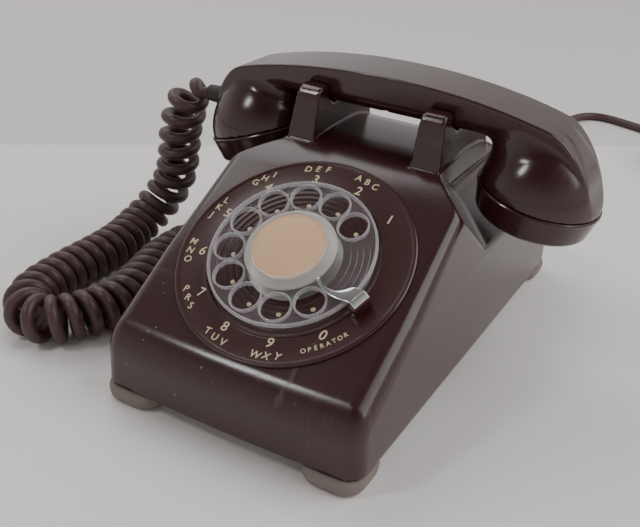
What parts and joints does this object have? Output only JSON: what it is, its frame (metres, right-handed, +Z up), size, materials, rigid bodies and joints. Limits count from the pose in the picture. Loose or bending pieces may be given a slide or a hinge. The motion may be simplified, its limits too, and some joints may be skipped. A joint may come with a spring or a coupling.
{
  "type": "rotary desk telephone",
  "caption": "Rotary desk telephone with a sloping dial face, a pronged cradle, a handset on a curly cord, a ringer and a line cord with its plug.",
  "frame": {"origin": "middle of the desk set on the surface that it stands on", "axes": "the dial faces -Y, +X is to the right of someone who dials, +Z is up"},
  "size_m": [0.3372, 0.5519, 0.1335],
  "materials": {
    "housing": "gloss",
    "handset": "gloss",
    "number_ring": "gloss",
    "dark_plastic": "satin",
    "plunger": "satin",
    "clear_plastic": "clear",
    "card": "matte",
    "foot_rubber": "matte",
    "cord_rubber": "satin",
    "polished_steel": "polished",
    "plated_steel": "satin",
    "spring_steel": "satin",
    "brass": "satin",
    "bell_metal": "polished",
    "can_aluminium": "satin",
    "coil_winding": "satin",
    "magnet": "matte",
    "potting": "matte"
  },
  "bodies": {
    "base": {"housing": "housing", "base_plate": "plated_steel", "foot_front_left": "foot_rubber", "foot_front_right": "foot_rubber", "foot_rear_left": "foot_rubber", "foot_rear_right": "foot_rubber", "housing_screws": "plated_steel", "number_ring": "number_ring", "finger_stop": "polished_steel", "dial_frame": "plated_steel", "dial_brackets": "plated_steel", "dial_screws": "plated_steel", "return_spring": "spring_steel", "governor_cup": "brass", "pulse_springs": "brass", "network_box": "potting", "network_terminals": "brass", "capacitor": "can_aluminium", "ringer_frame": "plated_steel", "ringer_core": "plated_steel", "ringer_coils": "coil_winding", "ringer_magnet": "magnet", "gong_left": "bell_metal", "gong_right": "bell_metal", "gong_screws": "plated_steel", "hook_bracket": "plated_steel", "hook_springs": "brass", "handset_cord_grommet": "cord_rubber", "line_cord_grommet": "cord_rubber", "handset_cord": "cord_rubber", "line_cord": "cord_rubber", "line_cord_end": "cord_rubber", "line_cord_coil": "cord_rubber", "line_cord_tie": "dark_plastic", "line_plug": "dark_plastic"},
    "dial": {"finger_wheel": "clear_plastic", "card_holder": "plated_steel", "number_card": "card", "card_window": "clear_plastic", "dial_shaft": "polished_steel", "main_gear": "brass"},
    "pulse": {"pulse_pinion": "brass"},
    "governor": {"governor": "brass"},
    "plunger_left": {"plunger_left": "plunger"},
    "plunger_right": {"plunger_right": "plunger"},
    "hook_lever": {"hook_lever": "plated_steel"},
    "clapper": {"clapper": "plated_steel"},
    "volume_wheel": {"volume_wheel": "dark_plastic"},
    "handset": {"handset_shell": "handset", "transmitter_cap": "handset", "receiver_cap": "handset", "transmitter_unit": "plated_steel", "receiver_unit": "can_aluminium", "handset_cord_gland": "cord_rubber"}
  },
  "joints": [
    {"name": "handset_lift", "type": "slide", "parent": "base", "child": "handset", "axis": [0, 0, 1], "range_m": [0, 0.12]},
    {"name": "plunger_left_slide", "type": "slide", "parent": "base", "child": "plunger_left", "axis": [0, 0, 1], "range_m": [0, 0.0071]},
    {"name": "plunger_right_slide", "type": "slide", "parent": "base", "child": "plunger_right", "axis": [0, 0, 1], "range_m": [0, 0.0071]},
    {"name": "hook_lever_turn", "type": "hinge", "parent": "base", "child": "hook_lever", "pos_m": [0, 0.046, 0.084], "axis": [-1, 0, 0], "range_deg": [0, 15.2]},
    {"name": "dial_spin", "type": "hinge", "parent": "base", "child": "dial", "pos_m": [0, -0.06694, 0.06759], "axis": [0, -0.5105, 0.8599], "range_deg": [-335, 0], "stiffness_Nm_per_rad": 0.01, "springref_deg": 85.94},
    {"name": "pulse_spin", "type": "hinge", "parent": "base", "child": "pulse", "pos_m": [-0.02833, -0.06917, 0.05114], "axis": [0, -0.5105, 0.8599], "range_deg": [0, 1360]},
    {"name": "governor_spin", "type": "hinge", "parent": "base", "child": "governor", "pos_m": [0.00907, -0.03558, 0.07109], "axis": [0, -0.5105, 0.8599], "range_deg": [0, 1360]},
    {"name": "clapper_swing", "type": "hinge", "parent": "base", "child": "clapper", "pos_m": [0, 0.0738, 0.027], "axis": [0, 0, 1], "range_deg": [-4.5, 4.5]},
    {"name": "volume_turn", "type": "hinge", "parent": "base", "child": "volume_wheel", "pos_m": [0.041, 0.05, 0.0088], "axis": [0, 0, 1], "range_deg": [-60, 60]}
  ],
  "couplings": [
    {"joint": "plunger_left_slide", "follows": "handset_lift", "ratio": 0.058333},
    {"joint": "plunger_right_slide", "follows": "handset_lift", "ratio": 0.058333},
    {"joint": "hook_lever_turn", "follows": "handset_lift", "rad_per_m": 2.1817},
    {"joint": "pulse_spin", "follows": "dial_spin", "ratio": -4},
    {"joint": "governor_spin", "follows": "dial_spin", "ratio": -4}
  ]
}
